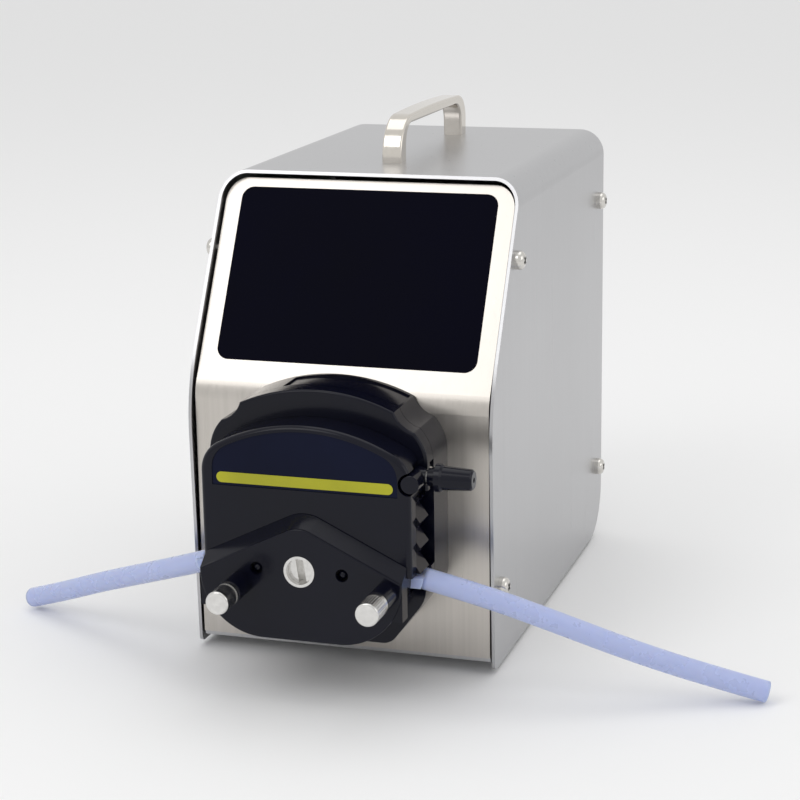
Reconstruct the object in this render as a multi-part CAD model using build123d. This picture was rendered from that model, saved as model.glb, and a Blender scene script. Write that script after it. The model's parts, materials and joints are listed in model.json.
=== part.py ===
from build123d import *
from math import atan2, cos, degrees, pi, radians, sin, sqrt, tan
import os

# A bench peristaltic pump: a sheet-steel drive with a sloping touch screen and a carry
# handle, and a roller pump head on its front.  Millimetres, +Z up, front towards -Y.
# Design frame: x from the mid plane, y back from the nose of the cover's sides, z up from
# their lower edge.  save_all() moves every piece so that the origin is on the table, under
# the middle of the object's box.

# ---------------------------------------------------------------- drive housing
housing_width = 150.0
housing_height = 225.6
housing_depth = 233.8
sheet = 1.5
display_rise = 97.45        # height of the sloping part of the front
top_setback = 55.5          # how far the slope has gone back at the top
foot_setback = 3.6          # the side's lower front corner stands behind its nose
nose_radius = 78.0
toe_radius = 3.0
heel_radius = 27.0
roof_radius = 13.0
foot_drop = 2.0             # rubber feet below the cover's sides
panel_recess = 4.0          # front panel behind the nose
panel_gap = 1.1             # dark gap between front panel and cover
panel_bend = 18.0
panel_flange = 15.0
base_height = 5.7           # top of the base plate
base_thickness = 2.0
rear_recess = 3.0
rear_flange = 20.0
rear_radius = 21.0

# touch screen, measured along the slope from the nose
screen_start = 15.3
screen_length = 87.6
screen_margin = 10.6        # from the housing's side to the screen
screen_corner = 6.0
screen_gap = 0.25
glass_thickness = 2.0
module_depth = 10.0
module_lip = 4.6
board_gap = 8.0
board_thickness = 1.6

# carry handle
handle_width = 10.0
handle_front = 90.0
handle_length = 116.0
handle_height = 22.8
handle_bar = 3.4
handle_leg = 8.6
handle_crown = 1.6

# fasteners
cover_screw_head = 9.0
cover_screw_rise = 4.5
cover_screw_shank = 4.0
screw_low = 39.2            # height of the lower cover screws
screw_drop = 36.6           # upper cover screws below the roof
screw_inset = 13.8          # rear cover screws before the rear edge
play = 0.1                  # clearance round a fixed fastener
seat = 0.02                 # clearance of a press or glue seat, on the radius
fit = 0.05                  # running fit on the radius
air = 0.3                   # least gap between moving pieces

# ---------------------------------------------------------------- pump head
shaft_height = 62.0
head_half_width = 52.6
head_front = -55.0          # face of the front bracket
bracket_back = -32.5
cover_front = -46.0
cover_back = -28.2
block_back = -18.5
head_top = 77.5             # above the shaft
head_bottom = -39.0
head_knee = -16.2          # side of the head turns in here
head_toe_x = 35.3
knee_round = 15.0
toe_round = 8.0
head_arch = 88.0
plate_half_width = 50.0
plate_top = 65.2
plate_corner = 15.0
plate_wall = 2.0
plate_rim = 2.5
bracket_half_width = 48.2
bracket_bottom = -33.1
bracket_corner = 30.0
chevron_apex = 21.4
chevron_slope = 0.485
chevron_round = 12.0
chevron_gap = 0.4
split_height = -2.5         # top of the fixed lower body
lift = 5.0                  # travel of the jaw
wall_depth = 3.0

# rotor and rollers
roller_count = 3
roller_circle = 23.0
roller_radius = 8.5
roller_length = 16.4
rotor_centre_y = -32.0
plate_thickness = 3.0
carrier_radius = 29.5
pin_diameter = 5.0
rotor_gap = 0.5
lower_cavity = 33.0
shaft_journal = 12.0
shaft_middle = 10.0
shaft_rear = 8.0
shaft_recess = 2.8
slot_width = 3.6
slot_depth = 4.5
slot_tilt = 7.7

# jaw lift parts
guide_x = 40.6
guide_y = -21.2
guide_diameter = 4.0
guide_top = 20.0
guide_bottom = -26.0
clamp_inner_x = 44.3
clamp_outer_x = 51.8
clamp_valley_x = 47.6
clamp_front = -38.0
clamp_top = 34.0
tooth_count = 3
pocket_back_y = -24.2       # room in the jaw for the lever's cam
pocket_x = 37.8
pocket_bottom = 21.5
pocket_top = 46.5
pad_thickness = 3.0
shelf_height = 6.0
shelf_x0 = 39.0
shelf_x1 = 47.6

# front bracket and bearings
edge_round = 0.8
ledge_front = -54.0         # bracket's top edge slopes up behind its front
ledge_back = -46.5
ledge_rise = 5.2
bushing_outer = 14.6
ball_x = 20.4
ball_radius = 2.0
ball_depth = 4.6
bearing_outer = 16.0
bearing_length = 8.0
bolt_spread = 30.0          # bolts that hold the head on the drive
bolt_high = 38.0
bolt_low = -24.0

# tubing
tube_outer = 10.0
tube_inner = 5.0
band_thickness = 4.7
band_width = 16.0
exit_height = -6.0
exit_x = 52.0
band_bend = 6.0

# lever
lever_x = 49.5
lever_z = 41.5
lever_range = 45.0
knuckle_radius = 4.3
knuckle_front = -45.5
knuckle_back = -28.5
notch_radius = 5.2
lever_shaft_d = 4.0
lever_pin_d = 5.0
cam_base = 3.0
grip_y = -33.0
grip_rise = 0.8
grip_end = 75.7

# thumbscrews
thumbscrews = {"left": (-28.6, -7.9), "right": (41.1, -6.7)}
collar_diameter = 11.0
collar_length = 14.0
knob_diameter = 10.8
knob_length = 14.0
tail_diameter = 5.0
tail_reach = 9.0
insert_diameter = 7.5
knurl_count = 30

# drive train inside the housing
motor_size = 60.0
motor_length = 85.0
motor_face = 36.0
fan_size = 60.0
fan_depth = 15.0

# back of the drive
fan_x, fan_z = 34.0, housing_height - 58.0
inlet_x, inlet_z = -36.0, housing_height - 148.0
switch_x, switch_z = inlet_x, inlet_z + 38.0
signal_x, signal_z = 34.0, inlet_z + 4.0
rocker_half = 8.4
rocker_swing = 14.0

# ---------------------------------------------------------------- derived
half_width = housing_width / 2
nose_height = housing_height - display_rise
slope = atan2(top_setback, display_rise)
slope_length = display_rise / cos(slope)
panel_half_width = half_width - sheet - panel_gap
panel_top_z = housing_height - sheet - 2.5
rear_y = housing_depth - rear_recess
track_radius = roller_circle + roller_radius + air + band_thickness + air
band_radius = roller_circle + roller_radius + air + band_thickness / 2
block_front = cover_back + 0.2
rear_front = block_back + air
cavity_front = rotor_centre_y - roller_length / 2 - air - plate_thickness - rotor_gap
cavity_back = rotor_centre_y + roller_length / 2 + air + plate_thickness + rotor_gap
cam_slope = lift / radians(lever_range)
screen_half_width = half_width - screen_margin
rocker_pivot_y = rear_y - 2.5
bearing_front = rear_front + 0.5
bearing_back = bearing_front + bearing_length
pad_top = lever_z - cam_base - fit
shelf_top = pad_top - pad_thickness
shelf_bottom = shelf_top - shelf_height
roller_front = rotor_centre_y - roller_length / 2
roller_back = rotor_centre_y + roller_length / 2
coupling_back = motor_face - 16.0
coupling_front = bearing_back + 0.6
cam_front = pocket_back_y + 0.5
cam_back = rear_front - 0.5

pieces = {}
cords = ["tube_left", "tube_right"]


def slab(face, y0, y1):
    """A face drawn in x and z, made solid from y0 back to y1."""
    return extrude(Plane(origin=(0, y1, 0), x_dir=(1, 0, 0), z_dir=(0, -1, 0)) * face,
                   amount=y1 - y0)


def side_slab(face, x0, x1):
    """A face drawn in y and z, made solid from x0 to x1."""
    return extrude(Plane(origin=(x0, 0, 0), x_dir=(0, 1, 0), z_dir=(1, 0, 0)) * face,
                   amount=x1 - x0)


def block(x0, x1, y0, y1, z0, z1):
    return Pos((x0 + x1) / 2, (y0 + y1) / 2, (z0 + z1) / 2) * Box(x1 - x0, y1 - y0, z1 - z0)


def rod_y(radius, y0, y1, x=0.0, z=0.0):
    return Pos(x, (y0 + y1) / 2, z) * Rot(90, 0, 0) * Cylinder(radius, y1 - y0)


def rod_x(radius, x0, x1, y=0.0, z=0.0):
    return Pos((x0 + x1) / 2, y, z) * Rot(0, 90, 0) * Cylinder(radius, x1 - x0)


def rod_z(radius, z0, z1, x=0.0, y=0.0):
    return Pos(x, y, (z0 + z1) / 2) * Cylinder(radius, z1 - z0)


def outline(points):
    return make_face(Polyline(*points, close=True))


def mirrored(half):
    return half + mirror(half, Plane.YZ)


def group(solids):
    return Compound([solid for piece in solids for solid in piece.solids()])


def at_shaft(shape):
    """Head pieces are drawn about the pump shaft."""
    return Pos(0, 0, shaft_height) * shape


def pan_screw(shank, length, head, rise):
    """Cross-recess pan head screw: seat at z 0, head up, shank down."""
    dome = Pos(0, 0, rise / 2) * Cylinder(head / 2, rise)
    dome = fillet(dome.edges().group_by(Axis.Z)[-1], min(rise * 0.55, head * 0.3))
    arm = Box(head * 0.5, head * 0.14, rise * 1.1)
    recess = Pos(0, 0, rise) * (arm + Rot(0, 0, 90) * arm)
    return dome - recess + Pos(0, 0, -length / 2) * Cylinder(shank / 2, length)


# ---------------------------------------------------------------- housing shells
def slope_y(z, recess=0.0):
    """Depth of the sloping front at a height, behind the nose by recess."""
    return recess + (z - nose_height) * tan(slope)


def side_profile():
    corners = [(foot_setback, 0), (0, nose_height), (top_setback, housing_height),
               (housing_depth, housing_height), (housing_depth, 0)]
    face = outline(corners)
    for corner, radius in ((corners[0], toe_radius), (corners[1], nose_radius),
                           (corners[4], heel_radius)):
        target = face.vertices().sort_by_distance(Vector(corner[0], corner[1], 0))[0]
        face = fillet(target, radius)
    return face


def inner_tunnel():
    """Space inside the cover that front and rear panel may fill, seen from the front."""
    face = Pos(0, panel_top_z / 2 - 10) * Rectangle(2 * panel_half_width, panel_top_z + 20)
    face = fillet(face.vertices().group_by(Axis.Y)[-1], roof_radius - sheet - 1.0)
    return slab(face, 0, housing_depth)


def panel_strip(depth):
    """Side view of the front panel, from its front surface back by depth."""
    line = [(panel_recess, base_height), (panel_recess, nose_height),
            (slope_y(panel_top_z, panel_recess), panel_top_z)]
    run = depth / cos(slope)
    back = [(y + (run if i else depth), z) for i, (y, z) in enumerate(line)]
    back[1] = (panel_recess + depth, nose_height + (depth - run) / tan(slope))
    face = outline(line + back[::-1])
    for corner, radius in ((line[1], panel_bend), (back[1], panel_bend - min(depth, sheet))):
        target = face.vertices().sort_by_distance(Vector(corner[0], corner[1], 0))[0]
        face = fillet(target, radius)
    return face


def cover_screw_places():
    upper = housing_height - screw_drop
    rear = housing_depth - screw_inset
    return [(slope_y(upper, panel_recess) + 5.0, upper), (rear, upper), (rear, screw_low),
            (panel_recess + 8.8, screw_low)]


def cover_holes(radius):
    return [rod_x(radius, -half_width - 1, half_width + 1, y, z) for y, z in cover_screw_places()]


def handle_screw_places():
    inset = handle_leg / 2
    return [handle_front + inset, handle_front + handle_length - inset]


def make_outer_cover():
    outer = Pos(0, housing_height / 2 - 10) * Rectangle(housing_width, housing_height + 20)
    outer = fillet(outer.vertices().group_by(Axis.Y)[-1], roof_radius)
    inner = Pos(0, housing_height / 2 - sheet - 15) * Rectangle(
        housing_width - 2 * sheet, housing_height + 30)
    inner = fillet(inner.vertices().group_by(Axis.Y)[-1], roof_radius - sheet)
    tunnel = slab(outer - inner, 0, housing_depth)
    for hole in cover_holes(cover_screw_shank / 2 + play):
        tunnel -= hole
    for y in handle_screw_places():
        tunnel -= rod_z(2.0 + play, housing_height - sheet - 1, housing_height + 1, 0, y)
    return tunnel & side_slab(side_profile(), -half_width, half_width)


def screen_plane(depth=0.0):
    """Plane on the slope's panel surface at the nose, sunk by depth."""
    outward = Vector(0, -cos(slope), sin(slope))
    origin = Vector(0, panel_recess, nose_height) - outward * depth
    return Plane(origin=origin, x_dir=(1, 0, 0), z_dir=outward)


def on_screen(face, depth, thickness):
    """A face centred on the screen, its front sunk by depth, extruded inwards."""
    middle = screen_start + screen_length / 2
    return extrude(screen_plane(depth + thickness) * Pos(0, middle) * face, amount=thickness)


def screen_face(inset=0.0):
    return RectangleRounded(2 * (screen_half_width - inset), screen_length - 2 * inset,
                            screen_corner - inset)


def head_bolt_places():
    return [(i * bolt_spread, z) for z in (bolt_high, bolt_low) for i in (-1, 1)]


def make_front_panel():
    panel = side_slab(panel_strip(sheet), -panel_half_width, panel_half_width)
    strip = panel_strip(panel_flange)
    for x0 in (-panel_half_width, panel_half_width - sheet):
        panel += side_slab(strip, x0, x0 + sheet)
    panel += block(-panel_half_width, panel_half_width, panel_recess,
                   panel_recess + panel_flange, base_height, base_height + sheet)
    panel = panel & inner_tunnel()
    panel -= on_screen(screen_face(), -5, 12)
    panel -= cover_holes(cover_screw_shank / 2 + play)
    panel -= at_shaft(rod_y(13, panel_recess - 1, panel_recess + sheet + 1))
    for x, z in head_bolt_places():
        panel -= at_shaft(rod_y(2.5 + play, panel_recess - 1, panel_recess + sheet + 1, x, z))
    return panel


def rear_strip(depth):
    tail = housing_depth - 60.0
    line = [(rear_y, panel_top_z), (rear_y, base_height), (tail, base_height)]
    back = [(tail, base_height + depth), (rear_y - depth, base_height + depth),
            (rear_y - depth, panel_top_z)]
    face = outline(line + back)
    for corner, radius in ((line[1], rear_radius), (back[1], max(rear_radius - depth, 2))):
        target = face.vertices().sort_by_distance(Vector(corner[0], corner[1], 0))[0]
        face = fillet(target, radius)
    return face


def fan_screw_places():
    pitch = fan_size * 5 / 12
    return [(fan_x + i * pitch, fan_z + j * pitch) for i in (-1, 1) for j in (-1, 1)]


def rear_screw_places():
    side = [(inlet_x + i * 20.0, inlet_z) for i in (-1, 1)]
    side += [(signal_x + i * 16.5, signal_z) for i in (-1, 1)]
    return fan_screw_places() + side


def make_rear_panel():
    panel = side_slab(rear_strip(sheet), -panel_half_width, panel_half_width)
    flange = rear_strip(rear_flange)
    for x0 in (-panel_half_width, panel_half_width - sheet):
        panel += side_slab(flange, x0, x0 + sheet)
    panel = panel & inner_tunnel()
    for ring in range(1, 4):
        radius = 6.0 + ring * 6.2
        count = 8 + 6 * ring
        for k in range(count):
            angle = 2 * pi * k / count
            panel -= rod_y(2.1, rear_y - 4, rear_y + 2, fan_x + radius * cos(angle),
                           fan_z + radius * sin(angle))
    panel -= block(inlet_x - 14, inlet_x + 14, rear_y - 5, rear_y + 5, inlet_z - 10.5, inlet_z + 10.5)
    panel -= block(switch_x - 10, switch_x + 10, rear_y - 5, rear_y + 5, switch_z - 7, switch_z + 7)
    panel -= block(signal_x - 12.5, signal_x + 12.5, rear_y - 5, rear_y + 5,
                   signal_z - 5.6, signal_z + 5.6)
    panel -= [rod_y(1.5 + play, rear_y - 5, rear_y + 5, x, z) for x, z in rear_screw_places()]
    panel -= cover_holes(cover_screw_shank / 2 + play)
    return panel


def foot_places():
    front, back = 38.0, housing_depth - 46.0
    inset = half_width - 24.0
    return [(i * inset, y) for i in (-1, 1) for y in (front, back)]


def make_base_plate():
    plate = block(-panel_half_width, panel_half_width, panel_recess + 1.0, rear_y - rear_radius,
                  base_height - base_thickness, base_height)
    plate -= [rod_z(2.5, 0, base_height + 1, x, y) for x, y in foot_places()]
    return plate


def make_feet():
    feet = []
    for x, y in foot_places():
        foot = rod_z(8, -foot_drop, base_height - base_thickness, x, y)
        foot = fillet(foot.edges().group_by(Axis.Z)[0], 1.0)
        foot += rod_z(2.5 - play, base_height - base_thickness, base_height, x, y)
        feet.append(foot)
    return group(feet)


def make_handle():
    back = handle_front + handle_length
    top = housing_height + handle_height
    middle = (handle_front + back) / 2
    crown = Polyline((handle_front, housing_height), (handle_front - 0.8, top - handle_crown))
    arc = ThreePointArc((handle_front - 0.8, top - handle_crown), (middle, top),
                        (back + 0.8, top - handle_crown))
    down = Polyline((back + 0.8, top - handle_crown), (back, housing_height),
                    (handle_front, housing_height))
    body = make_face(Wire([*crown.edges(), *arc.edges(), *down.edges()]))
    corners = body.vertices().group_by(Axis.Y)[-1].sort_by(Axis.X)
    body = fillet(corners[0], 20.0)
    corners = [v for v in body.vertices() if abs(v.X - back - 0.8) < 0.2]
    body = fillet(corners, 13.0)
    gap_front = handle_front + handle_leg
    gap_back = back - handle_leg
    gap = outline([(gap_front, housing_height - 1), (gap_front + 0.8, top - handle_bar - handle_crown),
                   (gap_back - 0.8, top - handle_bar - handle_crown), (gap_back, housing_height - 1)])
    gap = fillet(gap.vertices().group_by(Axis.Y)[-1], 10.0)
    handle = side_slab(body, -handle_width / 2, handle_width / 2)
    handle -= side_slab(gap, -handle_width, handle_width)
    rims = [e for e in handle.edges() if abs(abs(e.center().X) - handle_width / 2) < 0.01]
    rims = [e for e in rims if e.center().Z > housing_height + 0.5]
    handle = fillet(rims, 1.0)
    handle -= [rod_z(2.0 + play, housing_height - 1, housing_height + 9, 0, y)
               for y in handle_screw_places()]
    return handle


def make_handle_screws():
    screws = []
    for y in handle_screw_places():
        screw = Rot(180, 0, 0) * pan_screw(4.0, 9.5, 8.0, 2.6)
        screws.append(Pos(0, y, housing_height - sheet) * screw)
    return group(screws)


def make_cover_screws():
    screws = []
    for y, z in cover_screw_places():
        for turn in (90, -90):
            screw = pan_screw(cover_screw_shank, sheet + panel_gap + sheet + 1.5,
                              cover_screw_head, cover_screw_rise)
            screw = Rot(0, turn, 0) * Rot(0, 0, 35) * screw
            screws.append(Pos(half_width if turn > 0 else -half_width, y, z) * screw)
    return group(screws)


# ---------------------------------------------------------------- inside the drive
def make_display_module():
    body = on_screen(screen_face(1.2), glass_thickness + seat, module_depth)
    lip = RectangleRounded(2 * (screen_half_width + module_lip), screen_length + 8, 3)
    body += on_screen(lip, sheet + seat, 2 * sheet)
    return body - on_screen(screen_face(), -5, glass_thickness + seat + 5)


def standoff_spots():
    return [Pos(i * 45.0, j * 28.0) for i in (-1, 1) for j in (-1, 1)]


def make_control_board():
    depth = glass_thickness + module_depth + board_gap + 0.05
    face = Rectangle(110, 74)
    board = on_screen(face, depth, board_thickness)
    board += on_screen(Pos(20, 0) * Rectangle(24, 24), depth + board_thickness, 3)
    board += on_screen(Pos(-30, 8) * Rectangle(30, 12), depth + board_thickness, 9)
    return board


def make_standoffs():
    depth = glass_thickness + module_depth + 0.05
    return group([on_screen(spot * Circle(3), depth, board_gap) for spot in standoff_spots()])


def motor_screw_places():
    pitch = motor_size * 0.39
    return [(i * pitch, j * pitch) for i in (-1, 1) for j in (-1, 1)]


def make_motor():
    square = RectangleRounded(motor_size, motor_size, 4)
    body = slab(square, motor_face, motor_face + 10)
    body += slab(RectangleRounded(motor_size - 2, motor_size - 2, 8), motor_face + 10,
                 motor_face + motor_length - 10)
    body += slab(square, motor_face + motor_length - 10, motor_face + motor_length)
    body += rod_y(11, motor_face - 2, motor_face)
    body -= rod_y(shaft_rear / 2 + fit, motor_face - 3, motor_face + 12)
    body -= [rod_y(2, motor_face - 1, motor_face + 8, x, z) for x, z in motor_screw_places()]
    return at_shaft(body)


def make_motor_bracket():
    bottom = base_height - shaft_height
    plate = block(-38, 38, motor_face - 3, motor_face, bottom, motor_size / 2 + 4)
    plate += block(-38, 38, motor_face - 3, motor_face + 27, bottom, bottom + 3)
    plate -= block(-motor_size / 2 - 1, motor_size / 2 + 1, motor_face, motor_face + 60,
                   -motor_size / 2 - 0.2, motor_size)
    plate -= rod_y(11 + play, motor_face - 4, motor_face + 1)
    plate -= [rod_y(2 + play, motor_face - 4, motor_face + 1, x, z) for x, z in motor_screw_places()]
    return at_shaft(plate)


def make_motor_screws():
    screws = []
    for x, z in motor_screw_places():
        screws.append(Pos(x, motor_face - 3, z) * Rot(90, 0, 0) * pan_screw(3.9, 10, 7, 2.4))
    return at_shaft(group(screws))


def make_power_supply():
    back = rear_y - 50.0
    case = block(-60, 12, back - 50, back, base_height + sheet + 0.2, base_height + 48)
    vents = [block(-50 + 9 * k, -46 + 9 * k, back - 42, back - 8, base_height + 46,
                   base_height + 49) for k in range(6)]
    return case - vents


def make_fan_frame():
    front, back = rear_y - sheet - fan_depth, rear_y - sheet
    square = RectangleRounded(fan_size, fan_size, 4)
    frame = slab(square, front, back)
    frame -= rod_y(fan_size / 2 - 2, front - 1, back + 1)
    hub = rod_y(12, front, front + 2.5)
    for k in range(4):
        arm = block(10, fan_size / 2 - 1, front, front + 2.5, -1.5, 1.5)
        hub += Rot(0, 45 + 90 * k, 0) * arm
    frame += hub
    frame += rod_y(2, front, back - 4)
    frame = Pos(fan_x, 0, fan_z) * frame
    return frame - [rod_y(1.5 + play, front - 1, back + 1, x, z) for x, z in fan_screw_places()]


def make_fan_rotor():
    front, back = rear_y - sheet - fan_depth + 3.2, rear_y - sheet - 2.0
    rotor = rod_y(12, front, back)
    for k in range(7):
        blade = block(10, fan_size / 2 - 3.4, -0.8, 0.8, -7.5, 7.5)
        blade = Pos(0, (front + back) / 2, 0) * Rot(35, 0, 0) * blade
        rotor += Rot(0, 360 * k / 7, 0) * blade
    rotor = rotor & rod_y(fan_size / 2, front, back)
    rotor -= rod_y(2 + fit, front - 1, back - 1.6)
    return Pos(fan_x, 0, fan_z) * rotor


def make_mains_inlet():
    flange = RectangleRounded(49, 23, 4)
    inlet = slab(flange, rear_y, rear_y + 2.5)
    inlet += slab(RectangleRounded(27.4, 20.4, 3), rear_y - 26, rear_y)
    inlet -= slab(RectangleRounded(24, 16.4, 2), rear_y - 16, rear_y + 3)
    for i in (-1, 0, 1):
        inlet += block(7 * i - 1, 7 * i + 1, rear_y - 17, rear_y - 4, abs(i) * -2, abs(i) * -2 + 4)
    inlet -= [rod_y(1.5 + play, rear_y - 1, rear_y + 3, x, 0) for x in (-20, 20)]
    return Pos(inlet_x, 0, inlet_z) * inlet


def make_switch_housing():
    body = slab(RectangleRounded(23, 17, 2), rear_y, rear_y + 1.6)
    body += block(-9.8, 9.8, rear_y - 18, rear_y, -6.8, 6.8)
    body -= block(-rocker_half, rocker_half, rear_y - 14, rear_y + 2, -5.6, 5.6)
    body -= rod_x(1.5 + fit, -9.4, 9.4, rocker_pivot_y, 0)
    return Pos(switch_x, 0, switch_z) * body


def make_power_rocker():
    """Two faces that slope to the middle, over the pivot pin; it rests pressed at the top."""
    face = outline([(-3, -2.5), (-3, 2.5), (4.4, 4.2), (3.4, 0), (4.4, -4.2)])
    rocker = side_slab(face, -rocker_half + air, rocker_half - air)
    rocker += rod_x(1.5, -9.3, 9.3)
    return Pos(switch_x, rocker_pivot_y, switch_z) * Rot(rocker_swing / 2, 0, 0) * rocker


def make_signal_connector():
    shell = slab(RectangleRounded(39, 12.5, 2), rear_y, rear_y + 1)
    shell += slab(RectangleRounded(24, 10.4, 3), rear_y - 10, rear_y + 6)
    shell -= slab(RectangleRounded(21.6, 8, 2), rear_y + 1, rear_y + 7)
    for row, count in ((1.4, 8), (-1.4, 7)):
        for k in range(count):
            x = (k - (count - 1) / 2) * 2.6
            shell += rod_y(0.6, rear_y, rear_y + 5, x, row)
    shell -= [rod_y(1.5 + play, rear_y - 1, rear_y + 2, x, 0) for x in (-16.5, 16.5)]
    return Pos(signal_x, 0, signal_z) * shell


def make_rear_screws():
    screws = []
    for x, z in rear_screw_places():
        seat_y = rear_y
        if abs(z - inlet_z) < 1:
            seat_y = rear_y + 2.5
        elif abs(z - signal_z) < 1:
            seat_y = rear_y + 1
        screws.append(Pos(x, seat_y, z) * Rot(-90, 0, 0) * pan_screw(3.0, 9, 5.4, 1.9))
    return group(screws)


# ---------------------------------------------------------------- pump head shells
def body_outline():
    """Outline shared by jaw block, lower body and rear housing, in x and z."""
    centre = head_top - head_arch
    corner_x = 37.0
    corner = (corner_x, centre + sqrt(head_arch ** 2 - corner_x ** 2))
    notch_end = (46.4, 60.5)
    shoulder_end = (head_half_width, 46.0)
    top = ThreePointArc((0, head_top), (corner_x / 2, centre + sqrt(head_arch ** 2 - corner_x ** 2 / 4)),
                        corner)
    notch = ThreePointArc(corner, (40.9, 63.4), notch_end)
    shoulder = ThreePointArc(notch_end, (head_half_width - 2.3, 55.0), shoulder_end)
    side = Polyline(shoulder_end, (head_half_width, head_knee), (head_toe_x, head_bottom),
                    (0, head_bottom), (0, head_top))
    half = make_face(Wire([*top.edges(), *notch.edges(), *shoulder.edges(), *side.edges()]))
    knee = half.vertices().sort_by_distance(Vector(head_half_width, head_knee, 0))[0]
    half = fillet(knee, knee_round)
    toe = half.vertices().sort_by_distance(Vector(head_toe_x, head_bottom, 0))[0]
    half = fillet(toe, toe_round)
    return mirrored(half)


def arch_outline(half, top, radius, corner, bottom):
    """A plate with an arched top and rounded shoulders."""
    middle = (top + bottom) / 2
    face = Pos(0, middle) * Rectangle(2 * half, top - bottom)
    face = face & (Pos(0, top - radius) * Circle(radius))
    tops = face.vertices().sort_by(Axis.Y)[-2:]
    return fillet(tops, corner)


def chevron(gap):
    """Everything under the chevron line raised by gap."""
    apex = chevron_apex + gap
    reach = 80.0
    face = outline([(0, apex), (reach, apex - reach * chevron_slope), (reach, -120),
                    (-reach, -120), (-reach, apex - reach * chevron_slope)])
    tip = face.vertices().sort_by(Axis.Y)[-1]
    return fillet(tip, chevron_round + gap)


def track_cut():
    """Space for rotor and tube under the jaw: half round above, straight down below."""
    mouth = track_radius + 2.6
    flare = outline([(-track_radius, 3), (track_radius, 3), (mouth, -2.6), (mouth, -60),
                     (-mouth, -60), (-mouth, -2.6)])
    return Circle(track_radius) + flare


def tube_channel(y_room):
    """Side channels that the tube runs out through."""
    bottom = exit_height - tube_outer / 2 - 0.9
    half = band_width / 2 + 0.6
    right = block(30, 60, rotor_centre_y - half, rotor_centre_y + half + y_room, bottom, 30)
    return [right, mirror(right, Plane.YZ)]


def clamp_pockets(y0, y1):
    right = block(clamp_inner_x, 60, y0, y1, split_height - 1, clamp_top)
    return [right, mirror(right, Plane.YZ)]


def make_jaw_cover():
    face = arch_outline(plate_half_width, plate_top, head_arch, plate_corner, -20)
    plate = slab(face, cover_front, cover_back)
    rim = [e for e in plate.edges() if abs(e.center().Y - cover_front) < 0.01]
    rim = [e for e in rim if e.center().Z > -19]
    plate = fillet(rim, plate_rim)
    plate -= slab(chevron(chevron_gap), cover_front - 1, cover_back + 1)
    plate -= slab(track_cut(), cavity_front, cover_back + 1)
    plate -= clamp_pockets(clamp_front, cover_back + 1)
    plate -= rod_y(notch_radius, cover_front - 1, cover_back + 1, lever_x, lever_z)
    plate -= block(lever_x, 60, cover_front - 1, cover_back + 1, lever_z - notch_radius,
                   lever_z + notch_radius)
    plate -= block(lever_x - 2, 60, grip_y - 4, cover_back + 1, lever_z, lever_z + 7)
    plate -= slab(label_face(-0.1), cover_front - 1, cover_front + 0.8)
    return at_shaft(plate)


def label_face(inset):
    return arch_outline(44.0 - inset, 62.4 - inset, 85.0, 12.0, 35.3 + inset)


def make_label():
    return at_shaft(slab(label_face(0), cover_front + 0.3, cover_front + 0.8))


def make_strip():
    return at_shaft(slab(Pos(0, 39.0) * SlotOverall(84, 5), cover_front + 0.1, cover_front + 0.3))


def make_jaw_block():
    above = Pos(0, 60 + split_height + air) * Rectangle(160, 120)
    block_shape = slab(body_outline() & above, block_front, block_back)
    rim = [e for e in block_shape.edges() if abs(e.center().Y - block_front) < 0.01]
    rim = [e for e in rim if e.center().Z > split_height + 1]
    block_shape = fillet(rim, 1.2)
    block_shape -= slab(track_cut(), block_front - 1, block_back + 1)
    block_shape -= clamp_pockets(block_front - 1, block_back + 1)
    block_shape -= block(pocket_x, 60, pocket_back_y, block_back + 1, pocket_bottom, pocket_top)
    block_shape -= rod_y(lever_shaft_d / 2 + fit, block_front - 1, block_back + 1, lever_x, lever_z)
    for x in (-guide_x, guide_x):
        block_shape -= rod_z(guide_diameter / 2 + fit, -20, 21.3, x, guide_y)
    return at_shaft(block_shape)


def make_guide_pins():
    pins = [rod_z(guide_diameter / 2, guide_bottom, guide_top, x, guide_y)
            for x in (-guide_x, guide_x)]
    return at_shaft(group(pins))


def make_tube_clamps():
    """Toothed blocks that the jaw presses on the tube at its way in and out."""
    bottom = split_height + air + 0.2
    step = (clamp_top - air - bottom) / tooth_count
    teeth = [(clamp_inner_x, bottom), (clamp_outer_x, bottom)]
    for k in range(tooth_count):
        teeth.append((clamp_valley_x, bottom + step * (k + 0.5)))
        teeth.append((clamp_outer_x, bottom + step * (k + 1)))
    teeth.append((clamp_inner_x, clamp_top - air))
    face = outline(teeth)
    right = slab(face, clamp_front + 0.5, pocket_back_y - 0.3)
    return at_shaft(group([right, mirror(right, Plane.YZ)]))


def make_lower_body():
    below = Pos(0, split_height - 60) * Rectangle(160, 120)
    body = slab(body_outline() & below, bracket_back + 0.2, block_back)
    body -= slab(Circle(lower_cavity), bracket_back - 1, block_back + 1)
    body -= tube_channel(0)
    for x in (-guide_x, guide_x):
        body -= rod_z(guide_diameter / 2 + seat, guide_bottom, 10, x, guide_y)
    return at_shaft(body)


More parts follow.
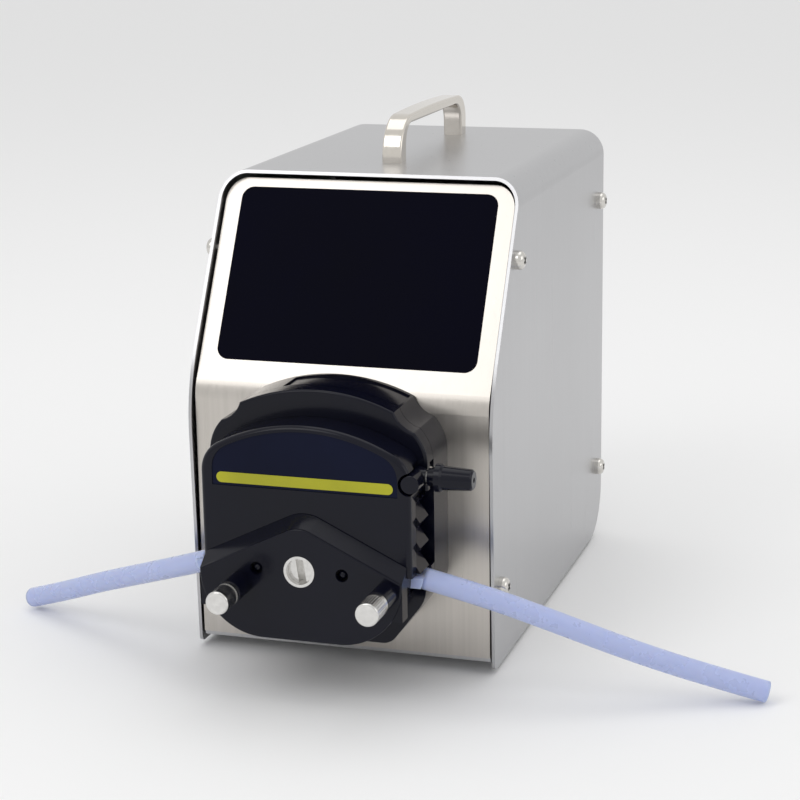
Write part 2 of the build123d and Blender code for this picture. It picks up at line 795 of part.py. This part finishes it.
def make_bracket():
    face = Pos(0, bracket_bottom + 50) * Rectangle(2 * bracket_half_width, 100)
    face = fillet(face.vertices().group_by(Axis.Y)[0], bracket_corner)
    face = face & chevron(0)
    body = slab(face, head_front, bracket_back)
    rim = [e for e in body.edges() if abs(e.center().Y - head_front) < 0.01]
    body = fillet(rim, edge_round)
    low = Plane(origin=(0, ledge_front, 0), x_dir=(1, 0, 0), z_dir=(0, -1, 0))
    high = Plane(origin=(0, ledge_back, 0), x_dir=(1, 0, 0), z_dir=(0, -1, 0))
    width = Pos(0, 10) * Rectangle(2 * bracket_half_width, 60)
    body += loft([low * (chevron(0) & width), high * (chevron(ledge_rise) & width)])
    body -= slab(Circle(lower_cavity), cavity_front, bracket_back + 1)
    body -= tube_channel(10)
    body -= rod_y(bushing_outer / 2 + seat, head_front - 1, cavity_front + 1)
    for x in (-ball_x, ball_x):
        body -= rod_y(3.0, head_front - 1, head_front + ball_depth, x, 0.1)
    for x, z in thumbscrews.values():
        body -= rod_y(insert_diameter / 2 + seat, head_front - 1, head_front + tail_reach + 0.8, x, z)
    return at_shaft(body)


def make_bushing():
    ring = rod_y(bushing_outer / 2, head_front, cavity_front - 0.2)
    ring -= rod_y(shaft_journal / 2 + fit, head_front - 1, cavity_front + 1)
    return at_shaft(ring)


def make_balls():
    y = head_front + ball_depth - ball_radius - seat
    return at_shaft(group([Pos(x, y, 0.1) * Sphere(ball_radius) for x in (-ball_x, ball_x)]))


def make_rear_housing():
    full = body_outline()
    shell = slab(full, rear_front, panel_recess)
    room = offset(full, -wall_depth)
    shell -= slab(room, rear_front + wall_depth, panel_recess + 1)
    shell += rod_y(bearing_outer / 2 + 4, rear_front + 1, bearing_back)
    for x, z in head_bolt_places():
        shell += rod_y(5, rear_front + 1, panel_recess, x, z)
        shell -= rod_y(2.5, panel_recess - 13, panel_recess + 1, x, z)
    shell -= rod_y(shaft_middle / 2 + 1, rear_front - 1, bearing_back + 1)
    shell -= rod_y(bearing_outer / 2 + seat, bearing_front, bearing_back + 1)
    ring = Pos(0, head_top - head_arch) * (Circle(head_arch + 2) - Circle(head_arch - 0.8))
    strip = ring & (Pos(8, head_top) * Rectangle(56, 40))
    shell -= slab(strip, rear_front + 2.2, panel_recess - 2.5)
    shell += block(shelf_x0, shelf_x1, pocket_back_y + 0.4, rear_front + 1, shelf_bottom, shelf_top)
    return at_shaft(shell)


def make_cam_pad():
    return at_shaft(block(shelf_x0 + 0.5, shelf_x1 - 0.2, pocket_back_y + 0.6, rear_front - 0.2,
                          shelf_top, pad_top))


def make_bearing():
    ring = rod_y(bearing_outer / 2, bearing_front, bearing_back)
    return at_shaft(ring - rod_y(shaft_rear / 2 + fit, bearing_front - 1, bearing_back + 1))


def make_head_screws():
    screws = []
    for x, z in head_bolt_places():
        screw = Rot(-90, 0, 0) * pan_screw(4.8, 12.5, 9, 3)
        screws.append(Pos(x, panel_recess + sheet, z) * screw)
    return at_shaft(group(screws))


# ---------------------------------------------------------------- rotor
def roller_places():
    turns = [90 + 360 * k / roller_count for k in range(roller_count)]
    return [(roller_circle * cos(radians(a)), roller_circle * sin(radians(a))) for a in turns]


def make_pump_shaft():
    front = head_front + shaft_recess
    shaft = rod_y(shaft_journal / 2, front, cavity_front + 0.2)
    shaft += rod_y(shaft_middle / 2, cavity_front, rear_front - 0.3)
    shaft += rod_y(shaft_rear / 2, rear_front - 0.3, 0)
    slot = Rot(0, -slot_tilt, 0) * block(-slot_width / 2, slot_width / 2, front - 1,
                                        front + slot_depth, -10, 10)
    return at_shaft(shaft - slot)


def make_carrier(y0, y1):
    disc = rod_y(carrier_radius, y0, y1)
    disc = chamfer(disc.edges(), 0.5)
    disc -= rod_y(shaft_middle / 2 + seat, y0 - 1, y1 + 1)
    disc -= [rod_y(pin_diameter / 2 + seat, y0 - 1, y1 + 1, x, z) for x, z in roller_places()]
    return at_shaft(disc)


def make_roller(x, z):
    roller = rod_y(roller_radius, roller_front, roller_back, x, z)
    roller = fillet(roller.edges(), 0.8)
    return at_shaft(roller - rod_y(pin_diameter / 2 + fit, roller_front - 1, roller_back + 1, x, z))


def make_roller_pins():
    front = roller_front - air - plate_thickness
    back = roller_back + air + plate_thickness
    return at_shaft(group([rod_y(pin_diameter / 2, front, back, x, z) for x, z in roller_places()]))


def make_coupling():
    sleeve = rod_y(10, coupling_front, coupling_back)
    sleeve = chamfer(sleeve.edges(), 0.6)
    return at_shaft(sleeve - rod_y(shaft_rear / 2 + seat, coupling_front - 1, coupling_back + 1))


def make_motor_shaft():
    return at_shaft(rod_y(shaft_rear / 2, 1.0, motor_face + 11))


# ---------------------------------------------------------------- lever
def cam_point(turn):
    """Point of the cam that meets the pad when the lever has turned by this angle."""
    reach = cam_base + cam_slope * turn
    angle = -pi / 2 - turn
    return (reach * cos(angle) + cam_slope * sin(angle), reach * sin(angle) - cam_slope * cos(angle))


def make_lever_cam():
    steps = 12
    top_turn = radians(lever_range + 6)
    low_turn = radians(-8)
    points = [cam_point(low_turn + (top_turn - low_turn) * k / steps) for k in range(steps + 1)]
    edge = Spline(*points)
    close = Polyline(points[-1], (-cam_slope, 2.6), (0, 2.6), (0, -2.6), points[0])
    cam = make_face(Wire([*edge.edges(), *close.edges()]))
    cam += Circle(cam_base - seat)
    cam = slab(Pos(lever_x, lever_z) * cam, cam_front, cam_back)
    return at_shaft(cam - rod_y(lever_shaft_d / 2 + seat, cam_front - 1, cam_back + 1, lever_x, lever_z))


def make_lever_shaft():
    return at_shaft(rod_y(lever_shaft_d / 2, knuckle_front + 1.0, cam_back, lever_x, lever_z))


def make_knuckle():
    z = lever_z
    knuckle = rod_y(knuckle_radius, knuckle_front, knuckle_back, lever_x, z)
    knuckle = fillet(knuckle.edges(), 0.6)
    knuckle += rod_x(3.6, lever_x, lever_x + 4.6, grip_y, z + grip_rise)
    knuckle -= rod_y(lever_shaft_d / 2 + seat, knuckle_front + 1.0, knuckle_back + 1, lever_x, z)
    knuckle -= rod_x(lever_pin_d / 2 + seat, lever_x + 2.6, lever_x + 8, grip_y, z + grip_rise)
    return at_shaft(knuckle)


def make_lever_pin():
    return at_shaft(rod_x(lever_pin_d / 2, lever_x + 2.6, lever_x + 18, grip_y, lever_z + grip_rise))


def make_grip():
    start = lever_x + 5.4
    profile = [(start, 0), (start, 4.0), (start + 3.4, 4.6), (start + 3.6, 6.4), (start + 6.0, 6.4),
               (start + 7.0, 5.5), (grip_end - 0.8, 4.8), (grip_end, 4.0), (grip_end, 0)]
    grip = revolve(outline(profile), Axis.X)
    grip -= rod_x(1.25, grip_end - 3, grip_end + 1)
    grip -= rod_x(lever_pin_d / 2 + seat, start - 1, lever_x + 18)
    return at_shaft(Pos(0, grip_y, lever_z + grip_rise) * grip)


# ---------------------------------------------------------------- thumbscrews
def make_collar(x, z):
    back = head_front - fit
    collar = rod_y(collar_diameter / 2, back - collar_length + 0.3, back, x, z)
    collar = fillet(collar.edges().group_by(Axis.Y)[0], 0.5)
    return at_shaft(collar - rod_y(tail_diameter / 2 + 0.4, -90, back + 1, x, z))


def make_thumbscrew(x, z):
    back = head_front - fit - collar_length
    front = back - knob_length + fit
    knob = rod_y(knob_diameter / 2, front, back)
    knob = fillet(knob.edges().group_by(Axis.Y)[0], 0.9)
    groove = rod_y(0.35, front + 1.2, back - 2.4, knob_diameter / 2 + 0.05, 0)
    knob -= [Rot(0, 360 * k / knurl_count, 0) * groove for k in range(knurl_count)]
    knob += rod_y(tail_diameter / 2, back, head_front + tail_reach)
    return at_shaft(Pos(x, 0, z) * knob)


def make_inserts():
    rings = []
    for x, z in thumbscrews.values():
        ring = rod_y(insert_diameter / 2, head_front + 0.3, head_front + tail_reach + 0.6, x, z)
        rings.append(ring - rod_y(tail_diameter / 2 + fit, head_front - 1,
                                  head_front + tail_reach + 2, x, z))
    return at_shaft(group(rings))


# ---------------------------------------------------------------- tubing
def make_tube_loop():
    """The squeezed stretch of tube between the rollers and the jaw."""
    left = Line((-exit_x - 5, exit_height), (-band_radius - band_bend, exit_height))
    bend = ThreePointArc((-band_radius - band_bend, exit_height),
                         (-band_radius - band_bend * (1 - sin(pi / 4)),
                          exit_height + band_bend * (1 - cos(pi / 4))),
                         (-band_radius, exit_height + band_bend))
    top_z = exit_height + band_bend
    arch = ThreePointArc((-band_radius, top_z), (0, top_z + band_radius), (band_radius, top_z))
    half = [left, bend]
    band = None
    for edge in [*half, arch, *[mirror(e, Plane.YZ) for e in half]]:
        trace_face = trace(edge, band_thickness)
        band = trace_face if band is None else band + trace_face
    loop = slab(band, rotor_centre_y - band_width / 2, rotor_centre_y + band_width / 2)
    loop = at_shaft(loop)
    for points in tube_routes.values():
        start = Plane(origin=points[0], z_dir=Vector(*points[1]) - Vector(*points[0]))
        loop -= extrude(start * Rectangle(40, 40), amount=20)
    return loop


# Centre lines of the free tubing, from the head down to the table, in the design frame.
tube_routes = {
    "tube_right": [(52.0, -32.0, 56.0), (78.0, -28.5, 49.2), (110.0, -23.5, 38.0),
                   (141.0, -15.0, 25.0), (172.0, -3.5, 12.4), (202.4, 4.0, 3.2)],
    "tube_left": [(-52.0, -32.0, 56.0), (-71.0, -23.0, 48.2), (-100.0, -7.5, 36.2),
                  (-131.0, 8.0, 23.6), (-156.0, 20.0, 12.6), (-179.3, 31.0, 3.4)],
}


def make_tube(points):
    steps = [Vector(*b) - Vector(*a) for a, b in zip(points, points[1:])]
    radii = []
    for before, after in zip(steps, steps[1:]):
        half_turn = radians(before.get_angle(after) / 2)
        radii.append(0.45 * min(before.length, after.length) / tan(half_turn))
    print("tube radii", [round(r, 1) for r in radii])
    path = FilletPolyline(*points, radius=radii)
    start = Plane(origin=points[0], z_dir=steps[0])
    ring = Circle(tube_outer / 2) - Circle(tube_inner / 2)
    tube = sweep(start * ring, path=path)
    area = pi * (tube_outer ** 2 - tube_inner ** 2) / 4
    print("tube length", round(path.length, 2), "volume ratio", round(tube.volume / area / path.length, 5))
    return tube


# ---------------------------------------------------------------- the whole object
def make_all():
    pieces["outer_cover"] = make_outer_cover()
    pieces["front_panel"] = make_front_panel()
    pieces["touch_screen_glass"] = on_screen(screen_face(screen_gap), 0, glass_thickness)
    pieces["display_module"] = make_display_module()
    pieces["base_plate"] = make_base_plate()
    pieces["rear_panel"] = make_rear_panel()
    pieces["carry_handle"] = make_handle()
    pieces["handle_screws"] = make_handle_screws()
    pieces["cover_screws"] = make_cover_screws()
    pieces["rubber_feet"] = make_feet()
    pieces["motor_body"] = make_motor()
    pieces["motor_bracket"] = make_motor_bracket()
    pieces["motor_screws"] = make_motor_screws()
    pieces["power_supply"] = make_power_supply()
    pieces["control_board"] = make_control_board()
    pieces["board_standoffs"] = make_standoffs()
    pieces["fan_frame"] = make_fan_frame()
    pieces["fan_rotor"] = make_fan_rotor()
    pieces["mains_inlet"] = make_mains_inlet()
    pieces["switch_housing"] = make_switch_housing()
    pieces["power_rocker"] = make_power_rocker()
    pieces["signal_connector"] = make_signal_connector()
    pieces["rear_screws"] = make_rear_screws()
    pieces["head_rear_housing"] = make_rear_housing()
    pieces["head_lower_body"] = make_lower_body()
    pieces["front_bracket"] = make_bracket()
    pieces["front_bushing"] = make_bushing()
    pieces["rear_bearing"] = make_bearing()
    pieces["thumbscrew_inserts"] = make_inserts()
    pieces["locating_balls"] = make_balls()
    pieces["guide_pins"] = make_guide_pins()
    pieces["cam_pad"] = make_cam_pad()
    pieces["head_mount_screws"] = make_head_screws()
    pieces["pump_shaft"] = make_pump_shaft()
    pieces["rotor_front_plate"] = make_carrier(roller_front - air - plate_thickness, roller_front - air)
    pieces["rotor_rear_plate"] = make_carrier(roller_back + air, roller_back + air + plate_thickness)
    pieces["roller_pins"] = make_roller_pins()
    for number, (x, z) in enumerate(roller_places(), 1):
        pieces[f"roller_{number}"] = make_roller(x, z)
    pieces["shaft_coupling"] = make_coupling()
    pieces["motor_shaft"] = make_motor_shaft()
    pieces["jaw_front_cover"] = make_jaw_cover()
    pieces["jaw_label"] = make_label()
    pieces["label_strip"] = make_strip()
    pieces["jaw_block"] = make_jaw_block()
    pieces["tube_clamps"] = make_tube_clamps()
    pieces["lever_shaft"] = make_lever_shaft()
    pieces["lever_cam"] = make_lever_cam()
    pieces["lever_knuckle"] = make_knuckle()
    pieces["lever_pin"] = make_lever_pin()
    pieces["lever_grip"] = make_grip()
    for side, (x, z) in thumbscrews.items():
        pieces[f"{side}_collar"] = make_collar(x, z)
        pieces[f"{side}_thumbscrew"] = make_thumbscrew(x, z)
    pieces["tube_loop"] = make_tube_loop()
    for name, points in tube_routes.items():
        pieces[name] = make_tube(points)


def save_all():
    """Put the origin on the table under the middle of the box, tubing left out of it."""
    boxes = [shape.bounding_box() for name, shape in pieces.items() if name not in cords]
    middle_x = (min(box.min.X for box in boxes) + max(box.max.X for box in boxes)) / 2
    middle_y = (min(box.min.Y for box in boxes) + max(box.max.Y for box in boxes)) / 2
    table = min(box.min.Z for box in boxes)
    print("origin moved to", round(middle_x, 3), round(middle_y, 3), round(table, 3))
    shift = Pos(-middle_x, -middle_y, -table)
    os.makedirs("parts", exist_ok=True)
    for name, shape in pieces.items():
        export_step(shift * shape, f"parts/{name}.step")


make_all()
save_all()
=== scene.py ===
import json
import math

import bmesh
import bpy
from mathutils import Matrix, Vector


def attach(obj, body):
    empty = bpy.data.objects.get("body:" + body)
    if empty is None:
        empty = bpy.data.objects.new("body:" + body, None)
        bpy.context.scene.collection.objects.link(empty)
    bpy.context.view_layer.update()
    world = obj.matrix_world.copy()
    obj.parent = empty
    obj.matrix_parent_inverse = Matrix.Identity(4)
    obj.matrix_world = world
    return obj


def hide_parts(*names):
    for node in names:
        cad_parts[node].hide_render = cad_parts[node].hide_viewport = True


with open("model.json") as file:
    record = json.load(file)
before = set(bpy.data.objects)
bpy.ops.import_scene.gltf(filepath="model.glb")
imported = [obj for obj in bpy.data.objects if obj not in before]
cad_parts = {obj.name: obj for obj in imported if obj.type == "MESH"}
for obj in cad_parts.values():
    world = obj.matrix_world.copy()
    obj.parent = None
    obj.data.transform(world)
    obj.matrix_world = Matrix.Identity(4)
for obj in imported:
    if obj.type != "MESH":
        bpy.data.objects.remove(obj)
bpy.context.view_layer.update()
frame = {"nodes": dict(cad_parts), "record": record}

# A bench peristaltic pump: brushed stainless drive, black roller head, soft tubing.
# Metres, in the row frame: +Z up, the pump head towards -Y, the table at z 0.
mm = 0.001
nodes = frame["nodes"]
slot_of = {part["node"]: part["material_slot"] for part in frame["record"]["subparts"]}


# ------------------------------------------------------------------ camera
FOCAL = 95.83
CAMERA_AT = Vector((0.3215, -0.9792, 0.3772))
YAW, PITCH, ROLL = math.radians(17.829), math.radians(14.511), math.radians(-0.929)


def add_camera():
    forward = Vector((-math.sin(YAW) * math.cos(PITCH), math.cos(YAW) * math.cos(PITCH),
                      -math.sin(PITCH)))
    level = Vector((math.cos(YAW), math.sin(YAW), 0))
    up = level.cross(forward)
    right = level * math.cos(ROLL) + up * math.sin(ROLL)
    up = up * math.cos(ROLL) - level * math.sin(ROLL)
    turn = Matrix((right, up, -forward)).transposed().to_4x4()
    data = bpy.data.cameras.new("camera")
    data.lens = FOCAL
    data.sensor_width = 36
    data.clip_end = 50
    camera = bpy.data.objects.new("camera", data)
    camera.matrix_world = Matrix.Translation(CAMERA_AT) @ turn
    bpy.context.collection.objects.link(camera)
    bpy.context.scene.camera = camera


# ------------------------------------------------------------------ materials
def new_material(name):
    material = bpy.data.materials.new(name)
    material.use_nodes = True
    tree = material.node_tree
    shader = tree.nodes["Principled BSDF"]
    return material, tree, shader


def node(tree, kind, **values):
    made = tree.nodes.new(kind)
    for key, value in values.items():
        if key in made.inputs:
            made.inputs[key].default_value = value
        else:
            setattr(made, key, value)
    return made


def stretched_noise(tree, scale, stretch, detail=4.0, rough=0.6):
    """Noise in object space; a small stretch value draws it out along that axis."""
    place = node(tree, "ShaderNodeTexCoord")
    mapping = node(tree, "ShaderNodeMapping", Scale=stretch)
    noise = node(tree, "ShaderNodeTexNoise", Scale=scale, Detail=detail, Roughness=rough)
    tree.links.new(place.outputs["Object"], mapping.inputs["Vector"])
    tree.links.new(mapping.outputs["Vector"], noise.inputs["Vector"])
    return noise.outputs["Fac"]


def ramp(tree, value, stops):
    made = tree.nodes.new("ShaderNodeValToRGB")
    while len(made.color_ramp.elements) < len(stops):
        made.color_ramp.elements.new(0.5)
    for element, (place, colour) in zip(made.color_ramp.elements, stops):
        element.position = place
        element.color = (*colour, 1) if len(colour) == 3 else colour
    tree.links.new(value, made.inputs["Fac"])
    return made.outputs["Color"]


def grey(level):
    return (level, level, level)


def map_range(tree, value, low, high, to_low, to_high):
    made = node(tree, "ShaderNodeMapRange")
    made.inputs["From Min"].default_value = low
    made.inputs["From Max"].default_value = high
    made.inputs["To Min"].default_value = to_low
    made.inputs["To Max"].default_value = to_high
    tree.links.new(value, made.inputs["Value"])
    return made.outputs["Result"]


def bump(tree, shader, value, strength, distance):
    made = node(tree, "ShaderNodeBump", Strength=strength, Distance=distance)
    tree.links.new(value, made.inputs["Height"])
    tree.links.new(made.outputs["Normal"], shader.inputs["Normal"])


def brushed(name, colour, dark, stretch, rough=(0.27, 0.34), depth=0.03):
    """Sheet metal with long fine brush lines, in slightly varying tone and gloss."""
    material, tree, shader = new_material(name)
    lines = stretched_noise(tree, 420, stretch, 6, 0.65)
    broad = stretched_noise(tree, 9, (1, 1, 1), 3)
    shader.inputs["Metallic"].default_value = 1.0
    mixed = node(tree, "ShaderNodeMix", data_type="RGBA", blend_type="MIX")
    tree.links.new(map_range(tree, lines, 0.35, 0.65, 0, 1), mixed.inputs["Factor"])
    mixed.inputs[6].default_value = (*dark, 1)
    mixed.inputs[7].default_value = (*colour, 1)
    tint = node(tree, "ShaderNodeMix", data_type="RGBA", blend_type="MULTIPLY")
    tint.inputs["Factor"].default_value = 1
    tree.links.new(mixed.outputs[2], tint.inputs[6])
    tree.links.new(ramp(tree, broad, [(0.3, grey(0.96)), (0.7, grey(1.0))]), tint.inputs[7])
    tree.links.new(tint.outputs[2], shader.inputs["Base Color"])
    tree.links.new(map_range(tree, lines, 0.3, 0.7, *rough), shader.inputs["Roughness"])
    bump(tree, shader, lines, depth, 0.0002)
    return material


def moulded(name, colour, rough=(0.18, 0.3), coat=0.0, grain=0.06, scale=900, shine=0.5):
    """Moulded plastic: even colour, very fine grain, gloss that varies a little."""
    material, tree, shader = new_material(name)
    fine = stretched_noise(tree, scale, (1, 1, 1), 3)
    broad = stretched_noise(tree, 22, (1, 1, 1), 4)
    darker = tuple(0.8 * channel for channel in colour)
    tree.links.new(ramp(tree, broad, [(0.35, darker), (0.65, colour)]), shader.inputs["Base Color"])
    tree.links.new(map_range(tree, broad, 0.3, 0.7, *rough), shader.inputs["Roughness"])
    shader.inputs["Specular IOR Level"].default_value = shine
    shader.inputs["Coat Weight"].default_value = coat
    shader.inputs["Coat Roughness"].default_value = 0.08
    bump(tree, shader, fine, grain, 0.0001)
    return material


def turned(name, colour, rough=(0.12, 0.25), scale=500, stretch=(1, 40, 1)):
    """Machined metal with fine tool marks."""
    material, tree, shader = new_material(name)
    lines = stretched_noise(tree, scale, stretch, 4)
    shader.inputs["Metallic"].default_value = 1.0
    darker = tuple(0.82 * channel for channel in colour)
    tree.links.new(ramp(tree, lines, [(0.3, darker), (0.7, colour)]), shader.inputs["Base Color"])
    tree.links.new(map_range(tree, lines, 0.3, 0.7, *rough), shader.inputs["Roughness"])
    bump(tree, shader, lines, 0.08, 0.0001)
    return material


def screen_black():
    material, tree, shader = new_material("screen_black")
    smear = stretched_noise(tree, 14, (1, 1, 1), 5)
    tree.links.new(ramp(tree, smear, [(0.3, (0.0003, 0.0003, 0.004)), (0.7, (0.0005, 0.0005, 0.006))]),
                   shader.inputs["Base Color"])
    tree.links.new(map_range(tree, smear, 0.3, 0.7, 0.16, 0.24), shader.inputs["Roughness"])
    shader.inputs["Specular IOR Level"].default_value = 0.02
    return material


def silicone():
    """Soft translucent tubing, bluish where light goes through its wall."""
    material, tree, shader = new_material("silicone")
    cloud = stretched_noise(tree, 60, (1, 1, 1), 4)
    tree.links.new(ramp(tree, cloud, [(0.3, (0.47, 0.53, 0.80)), (0.7, (0.48, 0.54, 0.81))]),
                   shader.inputs["Base Color"])
    tree.links.new(map_range(tree, cloud, 0.3, 0.7, 0.22, 0.34), shader.inputs["Roughness"])
    shader.inputs["Subsurface Weight"].default_value = 0.6
    shader.inputs["Subsurface Radius"].default_value = (0.6, 0.8, 1.0)
    shader.inputs["Subsurface Scale"].default_value = 0.004
    shader.inputs["Transmission Weight"].default_value = 0.12
    shader.inputs["IOR"].default_value = 1.41
    return material


def board():
    material, tree, shader = new_material("board")
    tracks = stretched_noise(tree, 160, (1, 1, 1), 2)
    tree.links.new(ramp(tree, tracks, [(0.45, (0.01, 0.12, 0.05)), (0.55, (0.02, 0.2, 0.08))]),
                   shader.inputs["Base Color"])
    tree.links.new(map_range(tree, tracks, 0.3, 0.7, 0.25, 0.45), shader.inputs["Roughness"])
    return material


def make_materials():
    return {
        "brushed_stainless": brushed("stainless_side", (0.52, 0.52, 0.53), (0.48, 0.48, 0.49),
                                     (1, 1, 0.012)),
        # Front panel: a lighter, warmer copy of the side stainless, painted light on the front face.
        "stainless_painted_lit_front": brushed("stainless_painted_lit_front", (0.60, 0.565, 0.525), (0.55, 0.52, 0.48),
                                   (1, 1, 0.012)),
        "polished_nickel": brushed("handle_nickel", (0.72, 0.68, 0.62), (0.69, 0.65, 0.59),
                                   (1, 0.03, 1), (0.10, 0.16), 0.02),
        "screw_steel": turned("screw_steel", (0.72, 0.70, 0.66)),
        "screen_glass": screen_black(),
        "dark_metal": moulded("dark_metal", (0.05, 0.05, 0.055), (0.35, 0.5)),
        "black_plastic": moulded("black_plastic", (0.003, 0.0035, 0.010), (0.14, 0.22), 0.06,
                                 shine=0.2),
        "rubber_black": moulded("rubber_black", (0.015, 0.015, 0.015), (0.6, 0.8), 0, 0.3, 400),
        "motor_black": moulded("motor_black", (0.02, 0.02, 0.022), (0.3, 0.45)),
        "board_green": board(),
        "socket_black": moulded("socket_black", (0.012, 0.012, 0.013), (0.35, 0.5), 0, 0.15),
        "connector_nickel": turned("connector_nickel", (0.6, 0.58, 0.54)),
        "shaft_steel": turned("shaft_steel", (0.74, 0.73, 0.71)),
        "brass_insert": turned("brass_insert", (0.78, 0.6, 0.3)),
        "roller_plastic": moulded("roller_plastic", (0.72, 0.72, 0.70), (0.3, 0.4)),
        "clamp_plastic": moulded("clamp_plastic", (0.005, 0.005, 0.012), (0.12, 0.2), 0.2, shine=0.3),
        "label_navy": moulded("label_navy", (0.004, 0.006, 0.022), (0.34, 0.42), 0, 0.04, shine=0.1),
        "strip_yellow": moulded("strip_yellow", (0.43, 0.42, 0.004), (0.4, 0.5), 0, 0.04),
        "knurled_nickel": turned("knurled_nickel", (0.76, 0.75, 0.73), (0.14, 0.26), 300, (1, 1, 1)),
        "tube_silicone": silicone(),
    }


# The front panel takes the lighter stainless copy, which paints light on its face.
OWN_LOOK = {"front_panel": "stainless_painted_lit_front", "locating_balls": "black_plastic"}


def dress(materials):
    """Give every CAD node the material of its slot, or its own."""
    for name, part in nodes.items():
        key = OWN_LOOK.get(name, slot_of[name])
        part.data.materials.clear()
        part.data.materials.append(materials[key])


# ------------------------------------------------------------------ tubing
# Centre lines from the head down to the table, in the drawing's millimetres, and the
# drawing's origin in the row frame.
DRAWING_AT = Vector((0.0, -0.0769, 0.002))
TUBE_ROUTES = {
    "tube_right": [(52.0, -32.0, 56.0), (78.0, -28.5, 49.2), (110.0, -23.5, 38.0),
                   (141.0, -15.0, 25.0), (172.0, -3.5, 12.4), (202.4, 4.0, 3.2)],
    "tube_left": [(-52.0, -32.0, 56.0), (-71.0, -23.0, 48.2), (-100.0, -7.5, 36.2),
                  (-131.0, 8.0, 23.6), (-156.0, 20.0, 12.6), (-179.3, 31.0, 3.4)],
}
TUBE_OUTER = 0.010
TUBE_INNER = 0.005
TUBE_SIDES = 40


def route_line(name, points):
    """Close points along a smooth spline that the route's points steer."""
    curve = bpy.data.curves.new(name + "_route", "CURVE")
    curve.dimensions = "3D"
    spline = curve.splines.new("NURBS")
    spline.points.add(len(points) - 1)
    for target, point in zip(spline.points, points):
        target.co = (*point, 1)
    spline.order_u = 3
    spline.use_endpoint_u = True
    spline.resolution_u = 24
    holder = bpy.data.objects.new(name + "_route", curve)
    bpy.context.collection.objects.link(holder)
    bpy.context.view_layer.update()
    mesh = bpy.data.meshes.new_from_object(holder)
    line = [vertex.co.copy() for vertex in mesh.vertices]
    bpy.data.objects.remove(holder)
    return line


def rings_along(line, radii, segments):
    """Hollow tube: one skin for each of the two radii, joined by a flat ring at both ends."""
    made = bmesh.new()
    side = Vector((0, 0, 1))
    frames = []
    for index, point in enumerate(line):
        ahead = line[min(index + 1, len(line) - 1)] - line[max(index - 1, 0)]
        ahead.normalize()
        side = (side - ahead * side.dot(ahead)).normalized()
        frames.append((point, side.copy(), ahead.cross(side)))
    loops = []
    for radius in radii:
        for point, a, b in frames:
            ring = []
            for k in range(segments):
                turn = 2 * math.pi * k / segments
                ring.append(made.verts.new(point + (a * math.cos(turn) + b * math.sin(turn)) * radius))
            loops.append(ring)
    count = len(frames)
    outer, inner = loops[:count], loops[count:]
    for rings in (outer, inner):
        for first, second in zip(rings, rings[1:]):
            for k in range(segments):
                made.faces.new((first[k], first[(k + 1) % segments], second[(k + 1) % segments], second[k]))
    for end in (0, -1):
        for k in range(segments):
            made.faces.new((outer[end][k], outer[end][(k + 1) % segments],
                            inner[end][(k + 1) % segments], inner[end][k]))
    bmesh.ops.recalc_face_normals(made, faces=made.faces)
    return made


def add_object(name, made, material, smooth=True):
    mesh = bpy.data.meshes.new(name)
    made.to_mesh(mesh)
    made.free()
    mesh.materials.append(material)
    for face in mesh.polygons:
        face.use_smooth = smooth
    thing = bpy.data.objects.new(name, mesh)
    bpy.context.collection.objects.link(thing)
    return thing


def add_tube(name, material):
    points = [DRAWING_AT + Vector(point) * mm for point in TUBE_ROUTES[name]]
    line = route_line(name, points)
    made = rings_along(line, (TUBE_OUTER / 2, TUBE_INNER / 2), TUBE_SIDES)
    tube = add_object("soft_" + name, made, material)
    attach(tube, "root")
    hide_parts(name)


# ------------------------------------------------------------------ stage
# Each soft light: its place, its width and height, and its power in watts.
LIGHTS = {
    "key": ((-0.7, -1.2, 1.4), (0.9, 0.9), 5),
    "side": ((1.6, -0.2, 0.8), (1.0, 0.8), 2.5),
    "top": ((0, 0.3, 1.8), (1.2, 1.2), 4),
}
LIT_POINT = (0, 0, 0.12)
SKY_STRENGTH = 0.82
FLOOR_HALF = 6
FLOOR_TONE = 0.9
FLOOR_DROP = 0.0002


def add_light(name, place, size, power):
    data = bpy.data.lights.new(name, "AREA")
    data.shape = "RECTANGLE"
    data.size, data.size_y = size
    data.energy = power
    light = bpy.data.objects.new(name, data)
    light.location = place
    aim = Vector(LIT_POINT) - Vector(place)
    light.rotation_euler = aim.to_track_quat("-Z", "Y").to_euler()
    bpy.context.collection.objects.link(light)


def add_stage():
    made = bmesh.new()
    bmesh.ops.create_grid(made, x_segments=2, y_segments=2, size=FLOOR_HALF)
    material, tree, shader = new_material("pale_floor")
    shader.inputs["Base Color"].default_value = (*grey(FLOOR_TONE), 1)
    shader.inputs["Roughness"].default_value = 0.8
    floor = add_object("floor", made, material, False)
    floor.location = (0, 0, -FLOOR_DROP)
    world = bpy.data.worlds.new("world")
    world.use_nodes = True
    background = world.node_tree.nodes["Background"]
    background.inputs["Color"].default_value = (1, 1, 1, 1)
    background.inputs["Strength"].default_value = SKY_STRENGTH
    bpy.context.scene.world = world
    bpy.context.scene.view_settings.view_transform = "Standard"
    for name, (place, size, power) in LIGHTS.items():
        add_light(name, place, size, power)


add_camera()
materials = make_materials()
dress(materials)
for tube_name in TUBE_ROUTES:
    add_tube(tube_name, materials["tube_silicone"])
add_stage()
